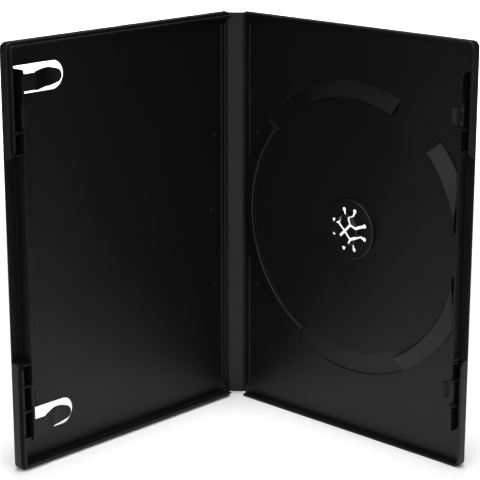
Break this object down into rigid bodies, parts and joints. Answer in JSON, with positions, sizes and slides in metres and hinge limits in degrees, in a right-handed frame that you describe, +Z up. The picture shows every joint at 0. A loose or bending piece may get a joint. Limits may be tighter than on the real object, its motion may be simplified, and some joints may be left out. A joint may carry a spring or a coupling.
{
  "type": "dvd case",
  "caption": "Slim hinged disc case standing open like a book: front cover with booklet clips, spine, and back cover with a sprung disc hub inside a ring of raised arcs.",
  "frame": {"origin": "middle of the floor area taken up by the open case, at floor level", "axes": "+Z up along the case's height and spine; the back cover lies along X with its inside facing -Y, the front cover lies along Y with its inside facing +X"},
  "size_m": [0.142, 0.1408, 0.19],
  "materials": {
    "black_plastic": "fine-grained semi-matte black polypropylene"
  },
  "bodies": {
    "back_cover": {"back_cover": "black_plastic"},
    "spine": {"spine": "black_plastic"},
    "front_cover": {"front_cover": "black_plastic"},
    "hub_tongue_edge": {"hub_tongue_edge": "black_plastic"},
    "hub_tongue_top": {"hub_tongue_top": "black_plastic"},
    "hub_tongue_spine": {"hub_tongue_spine": "black_plastic"},
    "hub_tongue_bottom": {"hub_tongue_bottom": "black_plastic"}
  },
  "joints": [
    {"name": "back_hinge", "type": "hinge", "parent": "back_cover", "child": "spine", "pos_m": [-0.06403, 0.06995, 0], "axis": [0, 0, -1], "range_deg": [-50, 40]},
    {"name": "front_hinge", "type": "hinge", "parent": "spine", "child": "front_cover", "pos_m": [-0.07047, 0.06455, 0], "axis": [0, 0, -1], "range_deg": [-40, 50]},
    {"name": "tongue_edge_press", "type": "hinge", "parent": "back_cover", "child": "hub_tongue_edge", "pos_m": [0.01307, 0.06735, 0.097], "axis": [0, 0, -1], "range_deg": [0, 6], "stiffness_Nm_per_rad": 0.02},
    {"name": "tongue_top_press", "type": "hinge", "parent": "back_cover", "child": "hub_tongue_top", "pos_m": [0.00427, 0.06735, 0.1058], "axis": [1, 0, 0], "range_deg": [0, 6], "stiffness_Nm_per_rad": 0.02},
    {"name": "tongue_spine_press", "type": "hinge", "parent": "back_cover", "child": "hub_tongue_spine", "pos_m": [-0.00453, 0.06735, 0.097], "axis": [0, 0, 1], "range_deg": [0, 6], "stiffness_Nm_per_rad": 0.02},
    {"name": "tongue_bottom_press", "type": "hinge", "parent": "back_cover", "child": "hub_tongue_bottom", "pos_m": [0.00427, 0.06735, 0.0882], "axis": [-1, 0, 0], "range_deg": [0, 6], "stiffness_Nm_per_rad": 0.02}
  ],
  "couplings": [
    {"joint": "tongue_top_press", "follows": "tongue_edge_press", "ratio": 1},
    {"joint": "tongue_spine_press", "follows": "tongue_edge_press", "ratio": 1},
    {"joint": "tongue_bottom_press", "follows": "tongue_edge_press", "ratio": 1}
  ]
}
